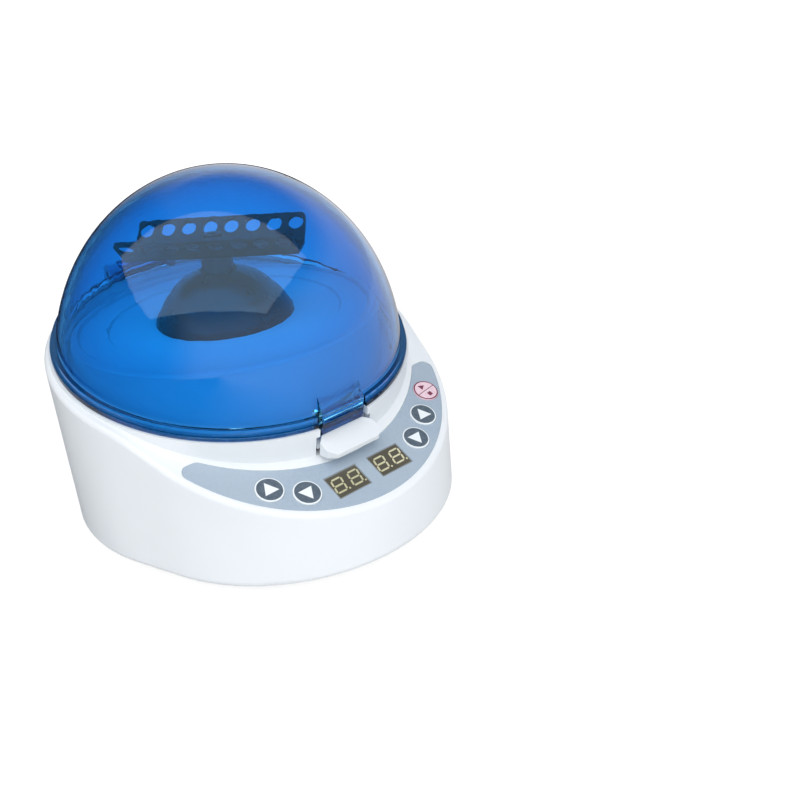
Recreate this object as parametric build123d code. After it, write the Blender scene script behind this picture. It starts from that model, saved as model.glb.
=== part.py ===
from build123d import *
import os
from math import cos, radians, sin, sqrt, tan

os.makedirs("parts", exist_ok=True)

# Mini centrifuge with a domed lid, in millimetres. +Z is up and the front faces -Y. The pieces are drawn with
# the rotor's axis at X 0 and Y 0, and are then moved along Y so that the origin lies on the bench under the
# middle of the whole. Two tilted frames are used: the lid frame, whose floor is the plane that the lid's rim
# lies in, and the panel frame, whose floor is the sloping front deck.

# Body outline, seen from above: a large rear circle and a smaller front circle joined by tangents
rear_radius = 76.2
rear_centre_y = -5.8
front_taper = 6.8
front_centre_y = -28.9
wall = 2.6
foot_height = 2.5
top_edge_radius = 2.0
bottom_edge_radius = 3.0

# Tilted planes
rim_height = 68.0
rim_forward = 3.0
lid_tilt = 13.0
panel_tilt = 26.0
panel_inset = 15.3
panel_drop = 15.03
deck_bend_radius = 60.0
deck_below_rim = 1.2

# Lid
rim_inset = 3.7
rim_lip_height = 1.6
band_inset = 0.9
band_height = 4.2
dome_inset = 1.3
dome_height_radius = 80.9
dome_centre_drop = 10.7
dome_wall = 2.2
tongue_half_width = 10.0
tongue_depth = 11.6
tongue_face_height = 5.5
tongue_height = 12.5
tongue_lean = 4.6
tongue_bottom = 4.0
tongue_slot = 1.6
lid_gap = 0.3
hinge_stand_off = 5.0
hinge_rise = 1.0
hinge_back_height = 9.0
hinge_pin_radius = 1.5
hinge_lug_half_width = 11.5
hinge_knuckle_radius = 4.0
ear_thickness = 5.5
side_play = 0.4
turn_play = 0.05

# Collar under the lid and the chamber inside it
collar_overhang = 0.9
collar_wall = 2.6
collar_depth = 34.0
flange_thickness = 2.6
flange_width = 7.2
chamber_gap = 3.2
chamber_wall = 2.2
chamber_rim_rise = 10.2
chamber_ledge_drop = 1.0
chamber_floor_drop = 1.8
chamber_rim_width = 4.2
chamber_ledge_width = 11.4
chamber_hole_radius = 21.0
chamber_ring_play = 1.0
chamber_ring_thickness = 2.7
chamber_screw_inset = 2.8

# Drive
cover_radius = 28.6
cover_wall = 2.0
cover_height = 19.8
cover_mouth_play = 1.05
motor_radius = 18.0
motor_drop = 10.4
motor_floor_gap = 9.0
motor_screw_inset = 5.5
motor_plate_thickness = 2.0
motor_plate_margin = 5.0
motor_boss_radius = 8.0
motor_boss_height = 3.0
isolator_height = 4.0
isolator_radius = 4.5
motor_post_gap = 8.0
motor_post_foot_radius = 5.5
motor_post_count = 3
shaft_radius = 2.0
shaft_drop = 1.5

# Rotor for two strips of eight tubes
rotor_turn = -47.5
tube_pitch = 9.0
tube_count = 8
tube_hole_radius = 3.1
tube_row_rise = 6.2
tube_row_offset = 12.6
plate_thickness = 1.4
plate_margin = 4.7
plate_end_margin = 3.9
plate_corner_radius = 2.4
rotor_gap = 6.7
hub_radius = 6.35
hub_sink = 8.2
hub_rise = 3.6

# Latch
latch_half_width = 12.8
latch_stand_out = 8.9
latch_cap_gap = 0.4
latch_top = 4.3
latch_front_top = 7.0
latch_front_bottom = 8.7
latch_rear_bottom = 11.4
latch_travel = 2.5
latch_plate_top = 7.3
latch_plate_bottom = 9.3
latch_plate_half_width = 12.3
latch_plate_length = 11.2
latch_rail_inner = 11.8
latch_rail_outer = 14.6
latch_rail_top = 6.0
latch_rail_floor = 2.0
latch_spring_room = 8.5
hook_half_width = 7.0
hook_inset = 3.6
hook_thickness = 1.8
hook_nose_length = 2.0
hook_bottom = 12.0
hook_nose_height = 2.4

# Front panel
overlay_inset = 2.2
overlay_collar_gap = 1.0
overlay_rear_shift = 1.6
overlay_end_gap = 19.6
overlay_end_radius = 3.4
overlay_thickness = 0.5
overlay_recess = 0.6
button_circle_inset = 9.6
start_circle_inset = 8.3
button_first_angle = 26.8
button_step_angle = 12.7
button_radius = 5.45
start_button_radius = 5.3
button_play = 0.1
button_rise = 0.5
button_travel = 0.8
window_x = 10.4
window_down = 2.3
window_width = 15.0
window_height = 10.4
board_depth = 9.0
board_thickness = 1.6
board_half_width = 54.0
board_reach = 24.0
tact_height = 4.4
switch_y = 19.6
switch_top = 3.0
plunger_rise = 0.5

# Rear panel
rear_panel_inset = 9.9
rear_panel_half_width = 36.0
rear_panel_low_z = 9.0
rear_panel_high_z = 49.0
inlet_x = 14.0
inlet_z = 29.0
rocker_x = -20.0
rocker_z = 29.0
rocker_tilt = 10.0

# Base
base_thickness = 2.5
base_gap = 0.25
board_low_z = 13.0
post_radius = 3.6
post_wall_gap = 3.2
post_height = 39.0
front_post_y = -34.0
rear_post_angle = 49.4
screw_radius = 1.4
screw_head_radius = 2.7
foot_radius = 7.0
front_foot_inset = 12.0
front_foot_angle = 47.05
rear_foot_inset = 13.9
rear_foot_angle = 39.9
vent_y = -46.0
vent_pitch = 7.0
vent_width = 2.4
vent_length = 16.0
vent_middle_x = 12.0
press = 0.02

# Circuit boards in the base
board_edge_gap = 16.2
board_post_gap = 2.0
circuit_board_front_y = -34.0
circuit_board_rear_y = 28.0

# Heights and reaches that follow from the sizes above
base_top = foot_height + base_thickness
front_radius = rear_radius - front_taper
front_end_y = front_centre_y - front_radius
panel_y = front_end_y + panel_inset
panel_z = rim_height + (panel_y + rim_forward) * tan(radians(lid_tilt)) - panel_drop
rim_radius = rear_radius - rim_inset
band_radius = rim_radius - band_inset
dome_radius = rim_radius - dome_inset
tongue_face = band_radius
hinge_reach = rim_radius + hinge_stand_off
collar_radius = rim_radius + collar_overhang
flange_hole_radius = collar_radius - flange_width
flange_under = lid_gap + flange_thickness
chamber_radius = flange_hole_radius - chamber_gap
chamber_ledge_radius = chamber_radius - chamber_rim_width
chamber_step_radius = chamber_ledge_radius - chamber_ledge_width
chamber_ring_radius = collar_radius - collar_wall - chamber_ring_play
chamber_rim_z = rim_height + chamber_rim_rise
chamber_ledge_z = chamber_rim_z - chamber_ledge_drop
chamber_floor_z = chamber_rim_z - chamber_floor_drop
cover_top_z = chamber_floor_z + cover_height
cover_mouth_radius = hub_radius + cover_mouth_play
motor_top_z = chamber_floor_z - motor_drop
motor_length = motor_top_z - base_top - motor_floor_gap
motor_post_circle = motor_radius + motor_post_gap
motor_plate_radius = motor_post_circle + motor_plate_margin
motor_screw_x = motor_radius - motor_screw_inset
trough_floor_z = cover_top_z + rotor_gap + plate_thickness
hub_bottom_z = cover_top_z - hub_sink
hub_top_z = trough_floor_z + hub_rise
shaft_top_z = hub_top_z - shaft_drop
tube_row_z = trough_floor_z + tube_row_rise
hook_front = tongue_face - hook_inset
hook_back = hook_front - hook_thickness
hook_nose = hook_back - hook_nose_length
latch_reach = rim_radius + latch_stand_out
latch_cap_rear = tongue_face - latch_cap_gap
latch_plate_rear = latch_cap_rear - latch_plate_length
latch_rail_rear = latch_plate_rear - latch_spring_room
latch_rail_front = latch_cap_rear - latch_travel - lid_gap
overlay_outer_radius = front_radius - overlay_inset
overlay_inner_radius = collar_radius + overlay_collar_gap
overlay_centre_y = overlay_rear_shift - rim_forward
overlay_meeting = (overlay_inner_radius**2 - overlay_outer_radius**2) / (front_centre_y - overlay_centre_y)
overlay_end_y = (overlay_meeting + front_centre_y + overlay_centre_y) / 2 - overlay_end_gap
rear_panel_y = rear_centre_y + rear_radius - rear_panel_inset
post_inset = wall + post_wall_gap
post_top_z = base_top + post_height
lid_plane = Plane(
    origin=(0, -rim_forward, rim_height),
    x_dir=(1, 0, 0),
    z_dir=(0, -sin(radians(lid_tilt)), cos(radians(lid_tilt))),
)
panel_plane = Plane(
    origin=(0, panel_y, panel_z),
    x_dir=(1, 0, 0),
    z_dir=(0, -sin(radians(panel_tilt)), cos(radians(panel_tilt))),
)


def block(x0, x1, y0, y1, z0, z1):
    return Pos((x0 + x1) / 2, (y0 + y1) / 2, (z0 + z1) / 2) * Box(x1 - x0, y1 - y0, z1 - z0)


def rod(radius, z0, z1, x=0.0, y=0.0):
    return Pos(x, y, (z0 + z1) / 2) * Cylinder(radius, z1 - z0)


def rod_x(radius, x0, x1, y, z):
    return Pos((x0 + x1) / 2, y, z) * Rot(0, 90, 0) * Cylinder(radius, x1 - x0)


def rod_y(radius, y0, y1, x, z):
    return Pos(x, (y0 + y1) / 2, z) * Rot(90, 0, 0) * Cylinder(radius, y1 - y0)


def in_lid(shape):
    return lid_plane.location * shape


def in_panel(shape):
    return panel_plane.location * shape


def turned(points):
    # A closed outline of radius and height, turned once around Z
    return revolve(Plane.XZ * make_face(Polyline(*points, close=True)), Axis.Z, 360)


def side_profile(points, x0, x1):
    # A closed outline of Y and Z, drawn out along X
    face = Plane.YZ * make_face(Polyline(*points, close=True))
    return Pos(x0, 0, 0) * extrude(face, amount=x1 - x0)


def tangent_points(offset):
    # Where the straight sides of the body's plan, grown by the offset, meet its rear and its front circle
    rear = rear_radius + offset
    front = front_radius + offset
    lean = front_taper / (rear_centre_y - front_centre_y)
    across = sqrt(1 - lean * lean)
    return rear * across, rear_centre_y - rear * lean, front * across, front_centre_y - front * lean


def outline(offset):
    # The body's plan, grown by the offset
    rear = rear_radius + offset
    front = front_radius + offset
    rear_x, rear_y, front_x, front_y = tangent_points(offset)
    edges = Curve() + [
        ThreePointArc((rear_x, rear_y), (0, rear_centre_y + rear), (-rear_x, rear_y)),
        Line((-rear_x, rear_y), (-front_x, front_y)),
        ThreePointArc((-front_x, front_y), (0, front_centre_y - front), (front_x, front_y)),
        Line((front_x, front_y), (rear_x, rear_y)),
    ]
    return make_face(edges)


def side_x(y, offset):
    # How far out the straight side of the body's plan, grown by the offset, stands at a place along Y
    rear_x, rear_y, front_x, front_y = tangent_points(offset)
    return front_x + (rear_x - front_x) * (y - front_y) / (rear_y - front_y)


def around(centre_y, radius, angle):
    # Two places on a circle around (0, centre_y), the angle measured from the Y axis to either side
    x = radius * sin(radians(angle))
    y = centre_y + radius * cos(radians(angle))
    return [(-x, y), (x, y)]


def prism(offset, z0, z1):
    return Pos(0, 0, z0) * extrude(outline(offset), amount=z1 - z0)


def rim_line(y, drop):
    return rim_height + (y + rim_forward) * tan(radians(lid_tilt)) - drop / cos(radians(lid_tilt))


def panel_line(y, drop):
    return panel_z + (y - panel_y) * tan(radians(panel_tilt)) - drop / cos(radians(panel_tilt))


def under_deck(drop, z0):
    # Everything below the deck's top, lowered by the drop: the panel slope and the rim slope with a soft bend
    slope = tan(radians(panel_tilt)) - tan(radians(lid_tilt))
    rim_drop = deck_below_rim + drop
    bend_y = (rim_line(0, rim_drop) - panel_line(0, drop)) / slope
    bend = (bend_y, rim_line(bend_y, rim_drop))
    front_y = front_centre_y - front_radius - 10
    rear_y = rear_centre_y + rear_radius + 10
    points = [
        (front_y, z0),
        (front_y, max(panel_line(front_y, drop), z0 + 1)),
        bend,
        (rear_y, rim_line(rear_y, rim_drop)),
        (rear_y, z0),
    ]
    face = make_face(Polyline(*points, close=True))
    corner = face.vertices().sort_by_distance(Vector(*bend))[0]
    face = fillet(corner, deck_bend_radius - drop)
    reach = rear_radius + 10
    return Pos(-reach, 0, 0) * extrude(Plane.YZ * face, amount=2 * reach)


def screw(head_z, tip_z, x, y, head_radius=screw_head_radius, radius=screw_radius):
    # A pan-head screw whose head lies beyond head_z and whose shank runs to tip_z
    way = 1 if head_z > tip_z else -1
    low, high = sorted((head_z, head_z + way * 1.8))
    shank_low, shank_high = sorted((tip_z, head_z))
    head = rod(head_radius, low, high, x, y)
    drive_low, drive_high = sorted((head_z + way * 0.9, head_z + way * 1.9))
    cross = block(x - 1.5, x + 1.5, y - 0.3, y + 0.3, drive_low, drive_high)
    cross += block(x - 0.3, x + 0.3, y - 1.5, y + 1.5, drive_low, drive_high)
    return head + rod(radius, shank_low, shank_high, x, y) - cross


def group(shapes):
    solids = []
    for shape in shapes:
        solids.extend(shape.solids())
    return Compound(children=solids) if len(solids) > 1 else solids[0]


def save(name, shape):
    export_step(group([Pos(0, move_y, 0) * shape]), f"parts/{name}.step")


# Places that several pieces share

foot_places = around(front_centre_y, front_radius - front_foot_inset, 180 - front_foot_angle)
foot_places += around(rear_centre_y, rear_radius - rear_foot_inset, rear_foot_angle)
front_post_x = side_x(front_post_y, -post_inset)
post_places = [(-front_post_x, front_post_y), (front_post_x, front_post_y)]
post_places += around(rear_centre_y, rear_radius - post_inset, rear_post_angle)
hinge_end = (0, hinge_reach + hinge_knuckle_radius, hinge_rise - hinge_back_height)
move_y = -(front_end_y + lid_plane.from_local_coords(hinge_end).Y) / 2
motor_posts = [
    (motor_post_circle * cos(radians(90 + 360 * k / motor_post_count)),
     motor_post_circle * sin(radians(90 + 360 * k / motor_post_count)))
    for k in range(motor_post_count)
]
button_circle = front_radius - button_circle_inset
start_circle = front_radius - start_circle_inset


def panel_local(x, y):
    # The panel-frame place of a point of the deck, given in plan
    return x, (y - panel_y) / cos(radians(panel_tilt))


def button_place(angle, circle=button_circle):
    x = circle * sin(radians(angle))
    y = front_centre_y - circle * cos(radians(angle))
    return panel_local(x, y)


button_second_angle = button_first_angle + button_step_angle
start_angle = button_first_angle + 2 * button_step_angle
buttons = {
    "speed_down_button": (button_place(-button_first_angle), button_radius),
    "speed_up_button": (button_place(-button_second_angle), button_radius),
    "time_down_button": (button_place(button_first_angle), button_radius),
    "time_up_button": (button_place(button_second_angle), button_radius),
    "start_stop_button": (button_place(start_angle, start_circle), start_button_radius),
}
windows = {"speed": -window_x, "time": window_x}
board_screw_places = [(0.0, -10.6), (-33.5, 17.0), (33.5, 17.0), (-18.8, 9.2), (18.8, 9.2)]

# Upper housing

def hinge_block():
    # The ears that hold the hinge pin, and the block that carries them on the rear wall
    y, z = hinge_reach, hinge_rise
    r = hinge_knuckle_radius
    half = hinge_lug_half_width + side_play + ear_thickness
    profile = [
        (y - r, z),
        (y + r, z),
        (y + r, z - hinge_back_height),
        (y - 5.5, z - 22),
        (y - 12, z - 22),
        (y - 12, -deck_below_rim),
        (y - r, -deck_below_rim),
    ]
    shape = side_profile(profile, -half, half) + rod_x(r, -half, half, y, z)
    gap = hinge_lug_half_width + side_play
    shape -= rod_x(r + 0.6, -gap, gap, y, z)
    shape -= block(-gap, gap, y - r - 0.6, y + r + 0.6, z, z + r + 1)
    shape -= rod_x(hinge_pin_radius + press, -half - 1, half + 1, y, z)
    return in_lid(shape)


def latch_rails():
    # Two grooved rails that guide the latch plate, and the wall behind its spring
    front, rear, top = -latch_rail_front, -latch_rail_rear, -latch_rail_top
    low = -latch_plate_bottom - latch_rail_floor
    inner, outer = latch_rail_inner, latch_rail_outer
    shape = block(-outer, outer, front, rear + 2, low, top)
    shape += block(-outer, outer, front, -flange_hole_radius + 0.4, top, -flange_under + 0.5)
    shape -= block(-inner, inner, front - 1, rear, low - 1, 0)
    groove = latch_plate_half_width + 0.3
    shape -= block(-groove, groove, front - 1, rear, -latch_plate_bottom - 0.1, -latch_plate_top + 0.1)
    return in_lid(shape)


def panel_region(shrink):
    # The crescent of the overlay in plan, with round ends, drawn in by shrink
    end_y = overlay_end_y - shrink
    ring = Pos(0, front_centre_y) * Circle(overlay_outer_radius - shrink)
    ring -= Pos(0, overlay_centre_y) * Circle(overlay_inner_radius + shrink)
    ring &= Pos(0, end_y - rear_radius) * Rectangle(2 * rear_radius, 2 * rear_radius)
    corners = ring.vertices().filter_by_position(Axis.Y, end_y - 0.5, end_y + 0.5)
    return fillet(corners, overlay_end_radius)


def panel_slab(region, low, high):
    # The part of a slab parallel to the deck that stands over a region in plan
    reach = 2 * rear_radius
    column = extrude(region, amount=rim_height + reach)
    slab = in_panel(block(-reach, reach, -reach, reach, low, high))
    return column & slab


def rear_recess():
    x = rear_panel_half_width
    return block(-x, x, rear_panel_y, rear_panel_y + 30, rear_panel_low_z, rear_panel_high_z)


def inlet_cutout():
    x, y, z = inlet_x, rear_panel_y, inlet_z
    return block(x - 13.8, x + 13.8, y - 10, y + 1, z - 13, z + 13.4)


def rocker_cutout():
    x, y, z = rocker_x, rear_panel_y, rocker_z
    return block(x - 9.5, x + 9.5, y - 10, y + 1, z - 6.4, z + 6.4)


def upper_housing():
    sky = rim_height + rear_radius
    body = prism(0, foot_height, sky) & under_deck(0, foot_height)
    top_edges = []
    for edge in body.edges():
        low = abs(edge.position_at(0.5).Z - foot_height) < 0.01
        ends = edge.position_at(1) - edge.position_at(0)
        straight = edge.geom_type == GeomType.LINE
        along = straight and (abs(ends.X) > 0.99 * ends.length or abs(ends.Z) > 0.99 * ends.length)
        if not low and not along:
            top_edges.append(edge)
    body = fillet(top_edges, top_edge_radius)
    low_edges = [e for e in body.edges() if abs(e.position_at(0.5).Z - foot_height) < 0.01]
    body = fillet(low_edges, bottom_edge_radius)
    body += in_lid(rod(collar_radius, -collar_depth, -lid_gap)) & prism(0, foot_height, sky)
    body += hinge_block()
    body -= prism(-wall, foot_height - 1, sky) & under_deck(wall, foot_height - 1)
    hollow = in_lid(rod(collar_radius - collar_wall, -sky, -flange_under))
    body -= hollow & prism(-wall, foot_height - 1, sky)
    body -= in_lid(rod(flange_hole_radius, -10, 5))
    lug = hinge_lug_half_width + side_play
    body -= in_lid(block(-lug, lug, rim_radius - 2.5, hinge_reach, -0.6, 5))
    # Rear panel
    x = rear_panel_half_width + wall
    y = rear_panel_y
    pad = block(-x, x, y - wall, y + 30, rear_panel_low_z - wall, rear_panel_high_z + wall)
    body += pad & prism(-0.5, foot_height, sky)
    body -= rear_recess()
    body -= inlet_cutout() + rocker_cutout()
    # Posts for the base screws
    for px, py in post_places:
        post = rod(post_radius, base_top, post_top_z, px, py) & prism(-0.5, 0, 110)
        body += post - rod(screw_radius + press, base_top - 1, base_top + 16, px, py)
    # Latch way through the collar, then its rails
    half = tongue_half_width + tongue_slot
    front = -latch_reach - 2.6
    body -= in_lid(block(-half, half, front, -flange_hole_radius + 0.3, -tongue_bottom - 0.6, 5))
    span = latch_half_width + 0.35
    low = -latch_rear_bottom - 0.3
    body -= in_lid(block(-span, span, front, -latch_rail_front - 0.1, low, -latch_top + 0.8))
    body += latch_rails() & prism(-0.5, foot_height, sky)
    span = latch_plate_half_width + 0.3
    low = -latch_plate_bottom - 0.3
    body -= in_lid(block(-span, span, front, -collar_radius + 4.4, low, -latch_plate_top + 0.3))
    # Panel recess, button holes and windows
    body -= panel_slab(panel_region(0.0), -overlay_recess, 6)
    for (bx, by), radius in buttons.values():
        body -= in_panel(rod(radius + button_play, -6, 5, bx, by))
    for wx in windows.values():
        w = window_width / 2 + 0.15
        h = window_height / 2 + 0.15
        body -= in_panel(block(wx - w, wx + w, -window_down - h, -window_down + h, -6, 5))
    for sx, sy in board_screw_places:
        boss = rod(2.6, -board_depth, -wall + 0.5, sx, sy)
        boss -= rod(screw_radius + press, -board_depth - 1, -wall, sx, sy)
        body += in_panel(boss)
    # Pilot holes for the chamber's screws
    for sx, sy in chamber_screw_places():
        body -= in_lid(rod(screw_radius + press, -6, -lid_gap - 0.5, sx, sy))
    return body


def chamber_screw_places():
    radius = chamber_ring_radius - chamber_screw_inset
    angles = (-140, -40, 14, 166)
    return [(radius * cos(radians(a)), radius * sin(radians(a))) for a in angles]


# Chamber bowl

def chamber_bowl():
    # A vertical plinth with a dished top. Its wall follows the tilted flange, so it stands above the dished
    # top at the rear and below it at the front.
    r = chamber_radius
    w = chamber_wall
    lip = chamber_ledge_radius + 1.2
    top = chamber_rim_z
    low = -flange_under - chamber_ring_thickness
    far = 2 * rear_radius
    sky = top + far
    above = in_lid(block(-far, far, -far, far, -flange_under, 2 * far))
    shape = rod(r, top - r, sky)
    shape -= above & block(-far, far, -far, far, top, sky + 1)
    shape -= turned([
        (0, chamber_floor_z),
        (chamber_step_radius, chamber_floor_z),
        (chamber_step_radius + 0.8, chamber_ledge_z),
        (chamber_ledge_radius, chamber_ledge_z),
        (lip, top),
        (lip, sky + 1),
        (0, sky + 1),
    ])
    shape -= rod(chamber_hole_radius, 0, sky)
    shape -= rod(r - w, top - r - 1, chamber_floor_z - w)
    bevel = turned([
        (r - 1.6, top),
        (r - 0.5, top - 0.5),
        (r, top - 1.6),
        (r + 1, top - 1.6),
        (r + 1, top + 1),
        (r - 1.6, top + 1),
    ])
    shape -= bevel & above
    shape -= in_lid(block(-far, far, -far, far, -far, low))
    ring = in_lid(rod(chamber_ring_radius, low, -flange_under))
    shape += ring - rod(r - 0.4, 0, sky)
    notch = latch_rail_outer + 0.5
    shape -= in_lid(block(-notch, notch, -collar_radius, -r - 0.4, low - 1, 5)) - rod(r, 0, sky)
    for sx, sy in chamber_screw_places():
        shape -= in_lid(rod(screw_radius + 0.15, -12, 0, sx, sy))
    return shape


def chamber_screws():
    head = -flange_under - chamber_ring_thickness
    return group([in_lid(screw(head, -lid_gap - 0.8, x, y, 2.3)) for x, y in chamber_screw_places()])


# Motor cover: a bell with a small shoulder, open at the top for the rotor's hub

def motor_cover():
    z = chamber_floor_z
    top = cover_top_z
    t = cover_wall
    r = cover_radius
    spigot = chamber_hole_radius - 0.1
    outer = [
        (r, z),
        (r, z + 0.8),
        (r - 2.2, z + 4.6),
        (r - 3.6, z + 7.0),
        (r - 4.6, z + 7.8),
        (r - 6.9, z + 10.6),
        (r - 9.9, top - 6.0),
        (r - 13.0, top - 3.2),
        (r - 17.0, top - 1.2),
        (cover_mouth_radius + 0.6, top),
        (cover_mouth_radius, top),
    ]
    inner = [
        (cover_mouth_radius, top - t),
        (r - 15.6 - t, top - 1.6 - t),
        (r - 12.0 - t, top - 3.4 - t),
        (r - 9.4 - t, top - 5.8 - t),
        (r - 6.9 - t, z + 9.2),
        (r - 4.0 - t, z + 5.0),
        (r - 3.2 - t, z + 1.6),
        (spigot - t + 0.1, z + 1.6),
        (spigot - t + 0.1, z - 4.0),
        (spigot, z - 4.0),
        (spigot, z),
    ]
    return turned(outer + inner)


# Motor and its mounting

def motor():
    top = motor_top_z
    low = top - motor_length
    can = rod(motor_radius, low + 3, top)
    rim = [e for e in can.edges() if e.geom_type == GeomType.CIRCLE]
    can = fillet(rim, 1.2)
    plate_top = top + motor_plate_thickness
    boss = rod(motor_boss_radius, top - 1, plate_top + motor_boss_height)
    cap = rod(motor_radius - 3, low, low + 4)
    tag_x = motor_radius - 9
    tags = block(-tag_x - 2, -tag_x, -2.4, 2.4, low - 3, low + 1)
    tags += block(tag_x, tag_x + 2, -2.4, 2.4, low - 3, low + 1)
    shape = can + boss + cap + tags - rod(shaft_radius + turn_play, low - 1, 120)
    for side in (-1, 1):
        shape -= rod(screw_radius + press, top - 6, top + 1, side * motor_screw_x, 0)
    return shape


def motor_plate():
    z = motor_top_z
    shape = rod(motor_plate_radius, z, z + motor_plate_thickness)
    shape -= rod(motor_boss_radius + 0.15, z - 1, z + 5)
    for side in (-1, 1):
        shape -= rod(screw_radius + 0.2, z - 1, z + 5, side * motor_screw_x, 0)
    for x, y in motor_posts:
        shape -= rod(screw_radius + 0.2, z - 1, z + 5, x, y)
    return shape


def motor_isolators():
    top = motor_top_z
    rings = []
    for x, y in motor_posts:
        ring = rod(isolator_radius, top - isolator_height, top, x, y)
        groove = rod(isolator_radius + 1, top - 2.5, top - 1.5, x, y)
        groove -= rod(isolator_radius - 0.8, 0, top + 1, x, y)
        rings.append(ring - groove - rod(screw_radius + 0.15, 0, top + 1, x, y))
    return group(rings)


def motor_screws():
    head = motor_top_z + motor_plate_thickness
    long_screws = [screw(head, motor_top_z - isolator_height - 12, x, y) for x, y in motor_posts]
    short_screws = [screw(head, motor_top_z - 5, side * motor_screw_x, 0) for side in (-1, 1)]
    return group(long_screws + short_screws)


def motor_shaft():
    low = motor_top_z - motor_length - 1
    return rod(shaft_radius, low, shaft_top_z)


# Strip rotor: a trough whose two sides lean outwards, each with a row of tube holes

def strip_rotor():
    lean = sin(radians(45))
    s, z = tube_row_offset, tube_row_z
    t = plate_thickness
    top_s = s + plate_margin * lean
    top_z = z + plate_margin * lean
    floor_s = s - (z - trough_floor_z)
    out = t * lean
    low_z = trough_floor_z - t
    profile = [
        (floor_s, trough_floor_z),
        (top_s, top_z),
        (top_s + out, top_z - out),
        (top_s + out - (top_z - out - low_z), low_z),
    ]
    half = (tube_count - 1) * tube_pitch / 2 + plate_end_margin
    points = profile + [(-a, b) for a, b in reversed(profile)]
    shape = side_profile(points, -half, half)
    corners = []
    for edge in shape.edges():
        middle = edge.position_at(0.5)
        short = abs(edge.length - t) < 0.05
        if short and abs(abs(middle.X) - half) < 0.05 and middle.Z > z:
            corners.append(edge)
    shape = fillet(corners, plate_corner_radius)
    for side in (-1, 1):
        for k in range(tube_count):
            x = (k - (tube_count - 1) / 2) * tube_pitch
            hole = Rot(side * 45, 0, 0) * Cylinder(tube_hole_radius, 4 * t)
            shape -= Pos(x, side * s, z) * hole
    shape += rod(hub_radius, hub_bottom_z, hub_top_z)
    shape -= rod(shaft_radius + press, hub_bottom_z - 1, 120)
    return Rot(0, 0, rotor_turn) * shape


def rotor_screw():
    z = hub_top_z
    shape = rod(3.4, z, z + 3.2) + rod(1.5, shaft_top_z, z)
    socket = extrude(RegularPolygon(1.5, 6), amount=3)
    return shape - Pos(0, 0, z + 1.2) * socket


# Lid: a tall dome with a thin rim, a latch tongue in front and a hinge lug behind

def dome(radius, height_radius):
    ball = Sphere(1)
    ball = scale(ball, by=(radius, radius, height_radius))
    return Pos(0, 0, -dome_centre_drop) * ball


def lid_dome():
    keep = rod(rim_radius + 20, 0, 2 * rim_radius)
    outer = dome(dome_radius, dome_height_radius) & keep
    outer += rod(rim_radius, 0, rim_lip_height)
    outer += rod(band_radius, 0, band_height)
    face = tongue_face
    half = tongue_half_width
    root = face - tongue_depth
    lean = (-face + tongue_lean, tongue_height)
    tongue_side = [(-face, 0), (-face, tongue_face_height), lean, (-root, tongue_height), (-root, 0)]
    outer += side_profile(tongue_side, -half, half)
    y, z = hinge_reach, hinge_rise
    lug = hinge_lug_half_width
    outer += block(-lug, lug, root, y, 0, band_height)
    inner = dome(dome_radius - dome_wall, dome_height_radius - dome_wall)
    inner &= rod(rim_radius, -1, 2 * rim_radius)
    inner += rod(dome_radius - dome_wall - 1.42, -30, 0.5)
    shape = outer - inner
    shape += rod_x(hinge_knuckle_radius, -lug, lug, y, z)
    shape -= rod_x(hinge_pin_radius + turn_play, -lug - 1, lug + 1, y, z)
    # Slots beside the tongue
    for side in (-1, 1):
        x0, x1 = sorted((side * half, side * (half + tongue_slot)))
        shape -= block(x0, x1, -rim_radius - 7, -root, -1, 5.5)
    # Tongue below the rim, its step inwards, and the hook
    tongue = block(-half, half, -face, -hook_back, -tongue_bottom, 0)
    tongue -= block(-half - 1, half + 1, -face + 1.6, -hook_back + 1, -1.6, 0)
    tongue += block(-hook_half_width, hook_half_width, -hook_front, -hook_back, -hook_bottom, -tongue_bottom)
    nose = [
        (-hook_back, -hook_bottom),
        (-hook_nose - 1.2, -hook_bottom),
        (-hook_nose, -hook_bottom + 1.2),
        (-hook_nose, -hook_bottom + hook_nose_height),
        (-hook_back, -hook_bottom + hook_nose_height),
    ]
    tongue += side_profile(nose, -hook_half_width, hook_half_width)
    shape += tongue
    # Grip ridges on the tongue
    for step in range(3):
        shape += rod_x(0.5, -half + 0.6, half - 0.6, -face + 0.2, 0.7 + step * 1.8)
    return in_lid(shape)


def hinge_pin():
    half = hinge_lug_half_width + side_play + ear_thickness
    return in_lid(rod_x(hinge_pin_radius, -half, half, hinge_reach, hinge_rise))


# Latch button with its window plate

def latch_button():
    h = latch_half_width
    top, low = -latch_top, -latch_rear_bottom
    rear = -latch_cap_rear
    cap = side_profile([
        (rear, top),
        (-latch_reach, -latch_front_top),
        (-latch_reach, -latch_front_bottom),
        (rear, low),
    ], -h, h)
    front = -latch_reach
    plan = make_face(Polyline(
        (-h + 3.2, rear + 0.2), (h - 3.2, rear + 0.2), (h, rear - 2.8), (h, front + 3.2), (h - 2.8, front),
        (-h + 2.8, front), (-h, front + 3.2), (-h, rear - 2.8), close=True,
    ))
    cap &= Pos(0, 0, -30) * extrude(plan, amount=40)
    p = latch_plate_half_width
    plate = block(-p, p, rear - 0.8, -latch_plate_rear, -latch_plate_bottom, -latch_plate_top)
    window = hook_half_width + 0.6
    plate -= block(-window, window, -hook_front - latch_travel - 0.3, -hook_back + 0.3, -20, 0)
    middle = -(latch_plate_top + latch_plate_bottom) / 2
    post = rod_y(1.4, -latch_plate_rear - 0.5, -latch_plate_rear + 2.5, 0, middle)
    return in_lid(cap + plate + post)


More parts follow.
